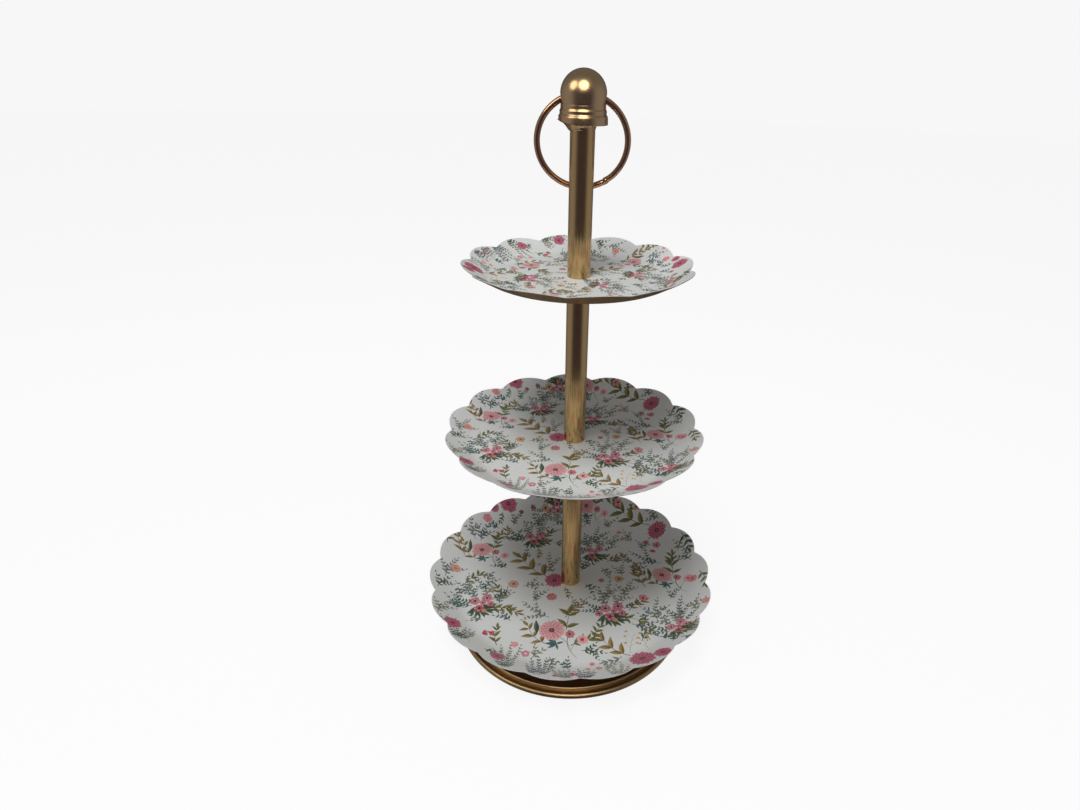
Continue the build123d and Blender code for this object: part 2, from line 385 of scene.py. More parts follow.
def spray(centre, size, turn=0.0):
    """The print's main motif: a large pale dahlia with two small flowers, leaves and curved stems."""
    unit = cmath.rect(size, turn)
    stalk(centre + unit * complex(17, -2), unit * complex(8, -32), -0.16, 0.8 * size)
    stalk(centre + unit * complex(6, -8), unit * complex(13, -17), 0.14, 0.6 * size)
    stalk(centre + unit * complex(28, -12), unit * complex(-9, -14), -0.1, 0.5 * size)
    twig(centre + unit * complex(14, 1), unit * complex(3, 24), "olive", 2, 0.62, 0.36, 0.0, 56, 0.15)
    twig(centre + unit * complex(-3, -18), unit * complex(-22, 25), "ochre", 3, 0.36, 0.36, 0.14, 58)
    leaf(centre + unit * complex(-14, -4), unit * complex(-2, 17), "green", 0.3)
    for reach in (-12 + 0j, -9 + 6j, -8 - 6j, 2 - 8j, 8 + 3j, -4 + 7j):
        leaf(centre + unit * complex(5, -17), unit * reach * 0.95, "teal", 0.36)
    blossom(centre + unit * complex(18, -4.5), 5.2 * size, CORAL, CRIMSON, WINE, 7)
    blossom(centre + unit * complex(30, -11), 6.0 * size, BLUSH, CORAL, CRIMSON, 8)
    dahlia(centre, 13.2 * size, BLUSH, ROSE, pigment(120, 48, 56), 18, turn)


def posy(centre, size, turn, flowers=5):
    """A bunch of small deep pink flowers over dark leaves."""
    unit = cmath.rect(size, turn)
    for reach in (-15 - 12j, -6 - 17j, 4 - 18j, 13 - 13j, 17 - 4j):
        leaf(centre + unit * complex(0, -4), unit * reach, "green", 0.34)
        side_leaf = unit * reach * 0.5 * cmath.rect(1, 0.7)
        leaf(centre + unit * (complex(0, -4) + reach * 0.55), side_leaf, "green", 0.36)
    twig(centre + unit * complex(9, -9), unit * complex(22, -3), "olive", 2, 0.5, 0.34, 0.1, 44)
    fern(centre + unit * complex(-8, 0), unit * complex(-23, 13), "green", 0.08, 4.6, 3.8)
    fern(centre + unit * complex(-10, -4), unit * complex(-22, 1), "teal", -0.08, 4.4, 3.8)
    fern(centre + unit * complex(12, 4), unit * complex(18, 12), "green", 0.08, 4.2, 3.6)
    bough(centre + unit * complex(-4, 6), unit * complex(-10, 26), "grey")
    bough(centre + unit * complex(5, 6), unit * complex(9, 27), "moss")
    spots = [(-7, 3, 6.2), (6, 7, 6.0), (-2, -8, 5.4), (1.5, 0, 3.8), (10, -2, 4.6), (-13, -5, 4.2)][:flowers]
    dot(centre + unit * complex(3, -12), 2.8 * size, mixed(OCHRE, PEACH, 0.3), 9)
    for k, (across, back, radius) in enumerate(spots):
        tip = RASPBERRY if k % 2 else ROSE
        blossom(centre + unit * complex(across, back), radius * size, tip, CRIMSON, WINE, 5, k)


# The layout: sprigs and leaves make the ground, and the bunches, dahlias and small flowers lie over
# them. Each is placed by its foot, or its centre, and by how far it reaches.
for start, reach, hue in (
    (-104 - 26j, -5 + 30j, "grey"), (-88 - 22j, 4 + 28j, "teal"), (-72 - 40j, 6 + 24j, "grey"),
    (-106 - 46j, -20 + 12j, "teal"), (-20 - 56j, -27 + 20j, "grey"), (-50 - 12j, 24 + 3j, "moss"),
    (-18 + 8j, -6 + 34j, "moss"), (30 + 58j, 2 + 34j, "slate"), (20 + 56j, -4 + 22j, "grey"),
    (46 + 56j, 8 + 24j, "grey"), (100 + 30j, -32 + 18j, "slate"), (88 - 58j, 3 + 32j, "grey"),
    (112 - 62j, 4 + 38j, "slate"), (132 + 26j, -6 + 26j, "grey"), (-34 + 90j, -14 + 26j, "green"),
    (-40 + 92j, 12 + 28j, "grey"), (-56 + 62j, -17 + 23j, "green"), (-110 + 60j, -8 + 26j, "grey"),
    (-104 + 60j, 6 + 24j, "slate"), (-132 - 8j, 8 + 32j, "grey"), (-136 - 28j, 10 + 22j, "green"),
    (12 + 14j, 10 + 22j, "green"), (16 - 6j, 8 - 16j, "green"), (40 - 30j, 2 + 26j, "moss"),
    (56 - 26j, 10 + 26j, "moss"), (0 - 122j, 0 + 15j, "teal"), (-100 - 100j, 4 + 20j, "moss"),
    (70 + 66j, -8 + 22j, "moss"), (80 + 52j, 10 + 20j, "grey"), (22 + 96j, -6 + 22j, "green"),
    (-128 - 68j, 8 + 24j, "moss"), (126 - 52j, 6 + 22j, "moss"), (62 - 62j, 26 - 16j, "slate"),
    (88 - 78j, 18 - 10j, "slate"), (56 + 8j, 2 + 20j, "moss"), (-70 + 92j, 8 + 18j, "grey"),
    (104 + 96j, -14 + 18j, "grey"), (-24 + 112j, 16 + 18j, "moss"), (66 + 112j, 18 + 10j, "green"),
    (-96 + 4j, 16 - 8j, "grey"), (70 + 30j, -14 + 16j, "grey"), (4 + 78j, 2 + 24j, "green"),
    (-38 - 34j, 14 + 16j, "grey"), (-58 - 62j, -12 + 18j, "teal"), (12 - 98j, 22 - 2j, "green"),
    (4 - 44j, 12 + 14j, "moss"), (76 - 60j, 4 + 18j, "teal"), (66 + 12j, 16 + 12j, "green"),
    (-70 + 16j, -12 + 16j, "slate"), (-46 + 34j, -4 + 16j, "grey"), (34 + 20j, 8 - 18j, "moss"),
    (-34 - 108j, 14 + 12j, "moss"), (-86 - 62j, -14 + 10j, "grey"), (104 - 26j, 12 + 16j, "grey"),
    (40 + 92j, 14 + 16j, "grey"), (-86 + 84j, -14 + 10j, "teal"), (-8 + 100j, -16 + 6j, "slate"),
    (98 - 92j, 10 + 14j, "green"), (34 - 124j, 12 + 10j, "moss"), (-18 - 106j, 4 - 18j, "grey"),
    (-118 - 16j, 4 - 18j, "slate"), (-78 - 104j, 14 - 12j, "green"), (120 + 46j, 10 + 16j, "moss"),
):
    bough(start, reach, hue, 2 if abs(reach) > 22 else 1)

for start, reach, hue in (
    (-20 + 2j, -38 + 34j, "ochre"), (58 - 103j, -30 + 24j, "ochre"), (92 + 92j, -36 + 30j, "olive"),
    (-84 + 52j, 2 + 26j, "olive"), (80 - 8j, -8 + 32j, "ochre"), (-118 + 34j, -12 + 24j, "ochre"),
    (112 + 22j, 2 + 24j, "olive"), (40 + 30j, 20 + 12j, "ochre"), (-74 - 44j, 24 - 8j, "ochre"),
    (-34 + 60j, 10 + 24j, "olive"), (-38 + 52j, 2 - 16j, "ochre"), (-68 - 94j, -2 + 24j, "olive"),
    (50 - 104j, -18 - 8j, "grey"), (126 + 68j, 6 - 26j, "green"), (-84 + 106j, -2 - 14j, "green"),
    (-6 - 12j, 4 - 14j, "green"), (138 + 6j, 3 - 24j, "olive"), (-138 + 40j, 4 + 26j, "olive"),
    (28 + 138j, 26 - 8j, "olive"), (-50 + 140j, 22 - 4j, "green"), (108 - 88j, 12 - 14j, "green"),
    (2 - 92j, 20 + 10j, "olive"), (-64 - 30j, -14 + 18j, "olive"), (24 - 84j, 8 + 20j, "olive"),
    (70 - 84j, 12 + 16j, "olive"), (-70 + 62j, -6 + 24j, "ochre"), (60 - 44j, 18 + 16j, "ochre"),
    (14 + 30j, -16 + 16j, "olive"), (-4 - 56j, 16 + 18j, "ochre"), (-112 - 12j, 16 + 18j, "olive"),
):
    twig(start, reach, hue, 3, 0.4, 0.34, 0.1)

tuft(-28 - 138j, 26j, "slate", 5)
tuft(-4 - 142j, 18j, "grey", 5, 50, CORAL)
tuft(14 - 142j, 16j, "slate", 5, 50)
tuft(44 - 138j, 20j, "moss", 4, 60, PEACH)
tuft(-58 - 132j, 18j, "green", 4)
tuft(-104 - 98j, 18j, "slate", 4, 60)
tuft(-60 - 120j, 26j, "moss", 4, 50)
tuft(120 - 84j, 18j, "moss", 4, 60, ROSE)
tuft(-122 - 84j, 16j, "grey", 4, 60)
berries(58 - 100j, 6 + 26j)
berries(76 - 96j, -4 + 20j, STRAW, 4)
berries(-92 - 100j, -4 + 18j, mixed(STRAW, OLIVE, 0.3), 4)

posy(-90 - 38j, 0.95, 0.1)
posy(43 - 45j, 1.0, -0.05, 6)
posy(-42 + 70j, 0.92, 0.05)
posy(26 + 47j, 0.85, -0.1, 4)
posy(106 - 68j, 0.8, 0.2)
posy(-22 + 124j, 0.7, 2.9, 4)
spray(-17 - 73j, 1.0)
spray(99 + 11j, 0.88, 0.05)
spray(-101 + 46j, 0.88, 0.02)
spray(17 + 128j, 0.78, -0.1)

for centre, radius in (
    (-17 - 2j, 10.5), (100 + 82j, 11), (-78 + 118j, 10.5), (68 - 112j, 12.5), (87 - 108j, 8.5),
    (-112 - 76j, 8.5), (-65 - 113j, 7), (-94 + 108j, 6),
):
    pompom(centre, radius, radius)

for centre, radius, tip, deep, core, petals in (
    (-60 - 9j, 6.2, PEACH, OCHRE, CRIMSON, 6), (-124 + 10j, 5.6, PEACH, CORAL, OCHRE, 6),
    (52 + 3j, 5.4, PEACH, OCHRE, WINE, 6), (33 + 0j, 3.4, RASPBERRY, CRIMSON, WINE, 5),
    (76 - 25j, 5.0, RASPBERRY, CORAL, WINE, 5), (-19 - 27j, 5.8, CORAL, CRIMSON, OCHRE, 7),
    (-100 + 92j, 5.6, CORAL, RASPBERRY, OCHRE, 6), (-33 + 123j, 5.2, PEACH, OCHRE, WINE, 6),
    (-48 + 121j, 3.4, CRIMSON, WINE, WINE, 5), (-62 + 112j, 3.0, CRIMSON, WINE, WINE, 5),
    (-51 - 92j, 3.6, CORAL, RASPBERRY, STRAW, 5), (-40 - 103j, 4.2, RASPBERRY, CRIMSON, BLUSH, 5),
    (130 - 1j, 5.2, CORAL, ROSE, CRIMSON, 7), (137 - 42j, 4.6, CORAL, ROSE, OCHRE, 6),
    (56 + 84j, 3.4, PEACH, CORAL, WINE, 5), (60 + 72j, 3.2, PEACH, CORAL, WINE, 5),
    (86 + 66j, 4.2, RASPBERRY, CRIMSON, WINE, 5), (98 + 62j, 4.8, RASPBERRY, CRIMSON, WINE, 5),
    (22 - 114j, 3.0, PEACH, CORAL, WINE, 5), (28 - 121j, 3.2, CORAL, ROSE, OCHRE, 5),
    (18 - 122j, 2.6, PEACH, CORAL, OCHRE, 5), (118 + 104j, 4.6, PEACH, CORAL, WINE, 6),
    (-128 + 82j, 4.4, CORAL, ROSE, WINE, 6), (56 + 128j, 5.0, CORAL, ROSE, WINE, 6),
    (-142 - 44j, 4.2, CORAL, ROSE, WINE, 6), (78 + 118j, 4.2, PEACH, OCHRE, WINE, 6),
):
    blossom(centre, radius, tip, deep, core, petals, radius)
for centre, reach in (
    (-84 - 80j, 6 + 3j), (-77 - 77j, 5 - 3j), (94 + 54j, -2 - 6j), (4 - 136j, 2 + 6j), (-12 - 140j, 1 + 5j),
):
    bud(centre, reach)

# Finishes: glaze and metal share a slow unevenness, a soft cloud of lighter and darker patches.
# No coat of enamel or lacquer comes out quite even, and a flat colour would look like plastic.
cloud = bpy.data.node_groups.new("uneven_tone", "ShaderNodeTree")
cloud.interface.new_socket("Color", in_out="INPUT", socket_type="NodeSocketColor")
for label in ("Amount", "Scale"):
    cloud.interface.new_socket(label, in_out="INPUT", socket_type="NodeSocketFloat")
cloud.interface.new_socket("Color", in_out="OUTPUT", socket_type="NodeSocketColor")
nodes, links = cloud.nodes, cloud.links
given, made = nodes.new("NodeGroupInput"), nodes.new("NodeGroupOutput")
place = nodes.new("ShaderNodeTexCoord")
patches = nodes.new("ShaderNodeTexNoise")
patches.inputs["Detail"].default_value = 4
links.new(place.outputs["Object"], patches.inputs["Vector"])
links.new(given.outputs["Scale"], patches.inputs["Scale"])
centred = nodes.new("ShaderNodeMath")
centred.operation = "SUBTRACT"
centred.inputs[1].default_value = 0.5
links.new(patches.outputs["Fac"], centred.inputs[0])
strength = nodes.new("ShaderNodeMath")
strength.operation = "MULTIPLY_ADD"
strength.inputs[2].default_value = 1.0
links.new(centred.outputs[0], strength.inputs[0])
links.new(given.outputs["Amount"], strength.inputs[1])
toned = nodes.new("ShaderNodeVectorMath")
toned.operation = "SCALE"
links.new(given.outputs["Color"], toned.inputs[0])
links.new(strength.outputs[0], toned.inputs["Scale"])
links.new(toned.outputs[0], made.inputs["Color"])


def uneven(tree, amount, scale, colour=None):
    """Places the uneven tone group in a material, and returns it."""
    group = tree.nodes.new("ShaderNodeGroup")
    group.node_tree = cloud
    group.inputs["Amount"].default_value = amount
    group.inputs["Scale"].default_value = scale
    if colour:
        group.inputs["Color"].default_value = (*colour, 1)
    return group


# Every finish also has a fine relief, from noise that can be drawn out along one axis, as the
# drawing die leaves it on a tube.
fine_relief = bpy.data.node_groups.new("fine_relief", "ShaderNodeTree")
fine_relief.interface.new_socket("Scale", in_out="INPUT", socket_type="NodeSocketFloat")
fine_relief.interface.new_socket("Height", in_out="INPUT", socket_type="NodeSocketFloat")
fine_relief.interface.new_socket("Stretch", in_out="INPUT", socket_type="NodeSocketVector")
fine_relief.interface.new_socket("Normal", in_out="OUTPUT", socket_type="NodeSocketVector")
fine_relief.interface.new_socket("Grain", in_out="OUTPUT", socket_type="NodeSocketFloat")
nodes, links = fine_relief.nodes, fine_relief.links
given, made = nodes.new("NodeGroupInput"), nodes.new("NodeGroupOutput")
place = nodes.new("ShaderNodeTexCoord")
drawn_out = nodes.new("ShaderNodeMapping")
grain = nodes.new("ShaderNodeTexNoise")
grain.inputs["Detail"].default_value = 3
bump = nodes.new("ShaderNodeBump")
links.new(place.outputs["Object"], drawn_out.inputs["Vector"])
links.new(given.outputs["Stretch"], drawn_out.inputs["Scale"])
links.new(drawn_out.outputs[0], grain.inputs["Vector"])
links.new(given.outputs["Scale"], grain.inputs["Scale"])
links.new(grain.outputs["Fac"], bump.inputs["Height"])
links.new(given.outputs["Height"], bump.inputs["Distance"])
links.new(bump.outputs["Normal"], made.inputs["Normal"])
links.new(grain.outputs["Fac"], made.inputs["Grain"])


def finish_bump(tree, shader, scale, height, stretch=(1, 1, 1)):
    """Places the fine relief group in a material, and returns it."""
    group = tree.nodes.new("ShaderNodeGroup")
    group.node_tree = fine_relief
    group.inputs["Scale"].default_value = scale
    group.inputs["Height"].default_value = height
    group.inputs["Stretch"].default_value = stretch
    tree.links.new(group.outputs["Normal"], shader.inputs["Normal"])
    return group


# Enamel and its back: a satin white glaze that carries the print in the mesh's own colours, and a
# dark bronze lacquer on the underside.
enamel = bpy.data.materials.new("printed_enamel")
enamel.use_nodes = True
tree = enamel.node_tree
glaze = tree.nodes["Principled BSDF"]
transfer = tree.nodes.new("ShaderNodeVertexColor")
transfer.layer_name = "print"
washed = uneven(tree, 0.22, 900)
drift = uneven(tree, 0.10, 30)
tree.links.new(transfer.outputs["Color"], washed.inputs["Color"])
tree.links.new(washed.outputs["Color"], drift.inputs["Color"])
tree.links.new(drift.outputs["Color"], glaze.inputs["Base Color"])
glaze.inputs["Roughness"].default_value = 0.36
glaze.inputs["Specular IOR Level"].default_value = 0.25
glaze.inputs["Coat Weight"].default_value = 0.05
glaze.inputs["Coat Roughness"].default_value = 0.2
finish_bump(tree, glaze, 420, 0.00003)

bronze = bpy.data.materials.new("bronze_lacquer")
bronze.use_nodes = True
tree = bronze.node_tree
back = tree.nodes["Principled BSDF"]
tone = uneven(tree, 0.5, 45, (0.36, 0.225, 0.095))
tree.links.new(tone.outputs["Color"], back.inputs["Base Color"])
back.inputs["Metallic"].default_value = 0.85
back.inputs["Roughness"].default_value = 0.42
finish_bump(tree, back, 700, 0.00004)

# Trays: pressed steel dishes with a scalloped edge, dipped white, printed, and lacquered below.
# One function presses all three: the floor is flat, the rim bends up, and the print is cut into it.
SHEET = 1.0
RIM_SLOPE, RIM_BEND = math.radians(30), 25.0
NOTCH_TRIM = 1.3
ENAMEL_WHITE = pigment(226, 228, 226)
TRAYS = {
    "lower": dict(
        notch=141.1, rise=13.0, count=18, turn=-5.6, print_size=1.0, print_turn=0.0, print_at=0j,
    ),
    "middle": dict(
        notch=115.7, rise=10.4, count=14, turn=4.0, print_size=0.82, print_turn=0.0, print_at=-2 + 3j,
    ),
    "upper": dict(
        notch=93.8, rise=10.2, count=12, turn=-5.2, print_size=0.66, print_turn=-113.0, print_at=-3 + 3j,
    ),
}
CREST = 6.0
BORE = 4.3
EDGE_SPACING = 1.9
EDGE_INSET = 0.35


def dish(radius, flat_end, floor_z):
    """Height and slope of a tray's upper face at a radius, in millimetres and radians."""
    if radius <= flat_end:
        return floor_z, 0.0
    bend_end = flat_end + RIM_BEND * math.sin(RIM_SLOPE)
    if radius < bend_end:
        slope = math.asin((radius - flat_end) / RIM_BEND)
        return floor_z + RIM_BEND * (1 - math.cos(slope)), slope
    bend_rise = RIM_BEND * (1 - math.cos(RIM_SLOPE))
    return floor_z + bend_rise + (radius - bend_end) * math.tan(RIM_SLOPE), RIM_SLOPE


def scallop_outline(notch, count, turn):
    """The edge in plan: equal arcs with softly rounded notches."""
    half_turn, crest = math.pi / count, notch + CREST
    middle = (crest**2 - notch**2) / (2 * (crest - notch * math.cos(half_turn)))
    lobe_radius = crest - middle
    reach = math.acos((notch * math.cos(half_turn) - middle) / lobe_radius)
    trim = NOTCH_TRIM / lobe_radius
    steps = max(8, round(2 * lobe_radius * reach / EDGE_SPACING))
    outline = []
    for lobe in range(count):
        axis = cmath.rect(1, math.radians(turn) + half_turn * (2 * lobe + 1))
        for step in range(steps + 1):
            angle = -(reach - trim) + 2 * (reach - trim) * step / steps
            outline.append(axis * (middle + cmath.rect(lobe_radius, angle)))
        last, corner = outline[-1], axis * cmath.rect(notch, half_turn)
        following = corner + (last - corner).conjugate() * (corner / abs(corner)) ** 2
        for share in (0.25, 0.5, 0.75):
            outline.append(last * (1 - share) ** 2 + 2 * corner * share * (1 - share) + following * share**2)
    return outline


def signed_area(outline):
    return sum((a.conjugate() * b).imag for a, b in zip(outline, outline[1:] + outline[:1])) / 2


def printed_top(outline, place_print, flat_end, floor_z):
    """Cuts the strokes into the tray's upper face. Gives its points, triangles and corner colours."""
    points, edges, loops, shades = [], [], [], [None, None]

    def add_loop(loop):
        loops.append(list(range(len(points), len(points) + len(loop))))
        points.extend(Vector((p.real, p.imag)) for p in loop)

    add_loop(outline)
    add_loop([cmath.rect(BORE, 2 * math.pi * k / 48) for k in range(48)])
    limit = max(abs(p) for p in outline)
    for stroke, near, far, start, end in strokes:
        loop = [place_print(p) for p in stroke]
        if min(abs(p) for p in loop) > limit:
            continue
        if signed_area(loop) < 0:
            loop.reverse()
        add_loop(loop)
        shades.append((near, far, place_print(start), place_print(end)))
    bend_end = flat_end + RIM_BEND * math.sin(RIM_SLOPE)
    rings = [flat_end + (bend_end - flat_end) * k / 6 for k in range(7)] + [bend_end + 5]
    for radius in rings:
        if radius > min(abs(p) for p in outline) - 1:
            continue
        first, count = len(points), round(max(48, radius * 1.6))
        points.extend(Vector((radius * math.cos(a), radius * math.sin(a)))
                      for a in (2 * math.pi * (k + 0.5) / count for k in range(count)))
        edges.extend((first + k, first + (k + 1) % count) for k in range(count))
    flat, _, faces, _, _, owners = delaunay_2d_cdt(points, edges, loops, 1, 1e-4, True)
    kept, colours = [], []
    for face, inside in zip(faces, owners):
        if 0 not in inside or 1 in inside:
            continue
        stroke = max(inside)
        kept.append(list(face))
        for corner in face:
            if stroke == 0:
                colours.append(ENAMEL_WHITE)
                continue
            near, far, start, end = shades[stroke]
            run = end - start
            spot = complex(*flat[corner]) - start
            share = min(1, max(0, (spot * run.conjugate()).real / abs(run) ** 2))
            colours.append(mixed(near, far, share))
    used = sorted({corner for face in kept for corner in face})
    number = {corner: k for k, corner in enumerate(used)}
    places = []
    for corner in used:
        x, y = flat[corner]
        places.append((x, y, dish(math.hypot(x, y), flat_end, floor_z)[0]))
    return places, [[number[c] for c in face] for face in kept], colours


def boundary_loops(faces):
    """Chains the edges that only one face uses into closed loops."""
    free = {}
    for face in faces:
        for a, b in zip(face, face[1:] + face[:1]):
            if free.pop((b, a), None) is None:
                free[(a, b)] = True
    step = dict(free.keys())
    loops = []
    while step:
        start, after = step.popitem()
        loop = [start]
        while after != start:
            loop.append(after)
            after = step.pop(after)
        loops.append(loop)
    return loops


def tray(tier):
    """Presses one tray: the printed face, the rolled edge, the underside and the hole, as one mesh."""
    facts = TRAYS[tier]
    floor_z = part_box(f"{tier}_post_tube")[0].z / MM
    flat_end = facts["notch"] - facts["rise"] / math.tan(RIM_SLOPE) - RIM_BEND * math.tan(RIM_SLOPE / 2)
    edge = scallop_outline(facts["notch"], facts["count"], facts["turn"])
    spin = cmath.rect(facts["print_size"], math.radians(facts["print_turn"]))

    def place_print(point):
        return point * spin + facts["print_at"]

    inset = [p * (1 - EDGE_INSET / abs(p)) for p in edge]
    places, faces, colours = printed_top(inset, place_print, flat_end, floor_z)
    normals = []
    for x, y, _ in places:
        slope = dish(math.hypot(x, y), flat_end, floor_z)[1]
        outward = complex(x, y) / max(1e-6, math.hypot(x, y)) * -math.sin(slope)
        normals.append((outward.real, outward.imag, math.cos(slope)))
    slots = [0] * len(faces)
    loops = sorted(boundary_loops(faces), key=len)
    bore_loop, rim = loops[0], loops[-1]

    def add_ring(radius_at, drop_at, normal_at, slot, from_ring):
        ring = []
        for corner in rim:
            x, y, _ = places[corner]
            plan = complex(x, y)
            way = plan / abs(plan)
            radius = radius_at(abs(plan))
            height, slope = dish(radius, flat_end, floor_z)
            spot = way * radius
            ring.append(len(places))
            places.append((spot.real, spot.imag, height - drop_at(slope)))
            side, rise = normal_at(slope)
            normals.append(((way * side).real, (way * side).imag, rise))
        for k, corner in enumerate(ring):
            after = (k + 1) % len(ring)
            faces.append([from_ring[after], from_ring[k], corner, ring[after]])
            slots.append(slot)
            colours.extend([ENAMEL_WHITE] * 4)
        return ring

    last = rim
    for outward, drop, tilt in ((0.26, 0.12, 45), (EDGE_INSET, 0.38, 10), (EDGE_INSET, 0.68, -10)):
        tilt = math.radians(tilt)
        last = add_ring(lambda r: r + outward, lambda s: drop * SHEET / math.cos(s),
                        lambda s: (math.cos(tilt), math.sin(tilt)), 0, last)

    def sheet_drop(slope):
        return SHEET / math.cos(slope)

    def downward(slope):
        return math.sin(slope), -math.cos(slope)

    last = add_ring(lambda r: r, sheet_drop, downward, 1, last)
    bend_end = flat_end + RIM_BEND * math.sin(RIM_SLOPE)
    under = [bend_end + (flat_end - bend_end) * k / 4 for k in range(5)]
    for radius in under + [11.0, BORE]:
        last = add_ring(lambda r: radius, sheet_drop, downward, 1, last)

    def by_angle(ring):
        return sorted(ring, key=lambda corner: math.atan2(places[corner][1], places[corner][0]))

    outer, inner = by_angle(last), by_angle(bore_loop)

    def angle(ring, k):
        x, y, _ = places[ring[k % len(ring)]]
        return math.atan2(y, x) + 2 * math.pi * (k // len(ring))

    i = j = 0
    while i < len(outer) or j < len(inner):
        take_outer = j == len(inner) or (i < len(outer) and angle(outer, i + 1) <= angle(inner, j + 1))
        a, b = outer[i % len(outer)], inner[j % len(inner)]
        if take_outer:
            faces.append([a, outer[(i + 1) % len(outer)], b][::-1])
            i += 1
        else:
            faces.append([a, inner[(j + 1) % len(inner)], b][::-1])
            j += 1
        slots.append(1)
        colours.extend([ENAMEL_WHITE] * 3)

    mesh = bpy.data.meshes.new(f"{tier}_tray_printed")
    mesh.from_pydata([(x * MM, y * MM, z * MM) for x, y, z in places], [], faces)
    layer = mesh.color_attributes.new("print", "FLOAT_COLOR", "CORNER")
    layer.data.foreach_set("color", [value for shade in colours for value in (*shade, 1.0)])
    mesh.materials.append(enamel)
    mesh.materials.append(bronze)
    mesh.polygons.foreach_set("material_index", slots)
    mesh.polygons.foreach_set("use_smooth", [True] * len(faces))
    mesh.normals_split_custom_set_from_vertices(normals)
    mesh.validate()
    mesh.update()
    piece = bpy.data.objects.new(f"{tier}_tray_printed", mesh)
    bpy.context.collection.objects.link(piece)
    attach(piece, "stand")
    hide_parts(f"{tier}_tray")


for tier in TRAYS:
    tray(tier)

# Gold: brass-plated steel under clear lacquer. The same finish, more or less polished, is on every
# turned piece, so the material is made by a function.
def gold(name, colour, roughness, patch, patch_scale, stretch=(1, 1, 1), relief=0.00002, coat=0.3):
    """A lacquered metal: patch and patch_scale set its unevenness, relief the depth of its grain."""
    material = bpy.data.materials.new(name)
    material.use_nodes = True
    tree = material.node_tree
    metal = tree.nodes["Principled BSDF"]
    tone = uneven(tree, patch, patch_scale, colour)
    tree.links.new(tone.outputs["Color"], metal.inputs["Base Color"])
    metal.inputs["Metallic"].default_value = 1.0
    metal.inputs["Coat Weight"].default_value = coat
    metal.inputs["Coat Roughness"].default_value = 0.08
    relief_group = finish_bump(tree, metal, 260, relief, stretch)
    worn = tree.nodes.new("ShaderNodeMapRange")
    worn.inputs["To Min"].default_value = roughness * 0.8
    worn.inputs["To Max"].default_value = roughness * 1.25
    tree.links.new(relief_group.outputs["Grain"], worn.inputs["Value"])
    tree.links.new(worn.outputs[0], metal.inputs["Roughness"])
    return material


def lathe(name, profile, segments=144):
    """Draws a circle along a closed section of (radius, height) points, in millimetres."""
    bpy.ops.object.select_all(action="DESELECT")
    radius, height = profile[0]
    bpy.ops.mesh.primitive_circle_add(vertices=segments, radius=radius * MM, location=(0, 0, height * MM))
    piece = bpy.context.object
    piece.name = name
    bpy.ops.object.transform_apply(location=True, rotation=True, scale=True)
    bpy.ops.object.mode_set(mode="EDIT")
    bpy.ops.mesh.select_all(action="SELECT")
    for next_radius, next_height in profile[1:] + profile[:1]:
        bpy.ops.mesh.extrude_edges_move(TRANSFORM_OT_translate={"value": (0, 0, (next_height - height) * MM)})
        ratio = next_radius / radius
        bpy.ops.transform.resize(value=(ratio, ratio, 1), center_override=(0, 0, 0))
        radius, height = next_radius, next_height
    bpy.ops.mesh.select_all(action="SELECT")
    bpy.ops.mesh.remove_doubles(threshold=0.000002)
    bpy.ops.mesh.normals_make_consistent(inside=False)
    bpy.ops.object.mode_set(mode="OBJECT")
    return piece


def arc(centre, radius, start, end, steps):
    """Points of a round stretch of a section, by its angles in degrees."""
    turns = (math.radians(start + (end - start) * k / steps) for k in range(steps + 1))
    return [(centre[0] + radius * math.cos(a), centre[1] + radius * math.sin(a)) for a in turns]


def finished(piece, material, body, slot, *nodes, angle=35):
    """Smooths a piece, gives it its material, and hands it to its body."""
    bpy.ops.object.select_all(action="DESELECT")
    piece.select_set(True)
    bpy.context.view_layer.objects.active = piece
    bpy.ops.object.shade_smooth_by_angle(angle=math.radians(angle))
    piece.data.materials.clear()
    piece.data.materials.append(material)
    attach(piece, body)
    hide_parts(*nodes)


# Post: three drawn tubes, screwed together through the trays, with softly broken ends. Each
# stands on a tray, and its ends come from the frame.
TUBE_WALL, END_BREAK, TUBE_STEPS = 1.0, 0.4, 24
post_gold = gold("post_gold", (0.555, 0.38, 0.172), 0.18, 0.14, 22, (1, 1, 0.05), 0.0000014)
for tier in TRAYS:
    low, high = (corner.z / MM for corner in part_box(f"{tier}_post_tube"))
    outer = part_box(f"{tier}_post_tube")[1].x / MM
    bore = outer - TUBE_WALL
    section = [(bore, high), (bore, low), (outer - END_BREAK, low), (outer, low + END_BREAK)]
    section += [(outer, low + (high - low) * k / TUBE_STEPS) for k in range(1, TUBE_STEPS)]
    section += [(outer, high - END_BREAK), (outer - END_BREAK, high)]
    finished(lathe(f"{tier}_post_polished", section), post_gold, "stand", "gold_lacquer", f"{tier}_post_tube")

# Foot: spun from one disc, with a rolled edge, a groove and a second bead, and hollow below. Inside the
# bead, under the tray, its colour is painted redder: a painted reflection of the tray's bronze underside.
foot_gold = gold("foot_gold", (0.42, 0.29, 0.16), 0.38, 0.3, 16, relief=0, coat=0.06)
tree = foot_gold.node_tree
worn_tone = tree.nodes["Principled BSDF"].inputs["Base Color"].links[0].from_socket
spot = tree.nodes.new("ShaderNodeTexCoord")
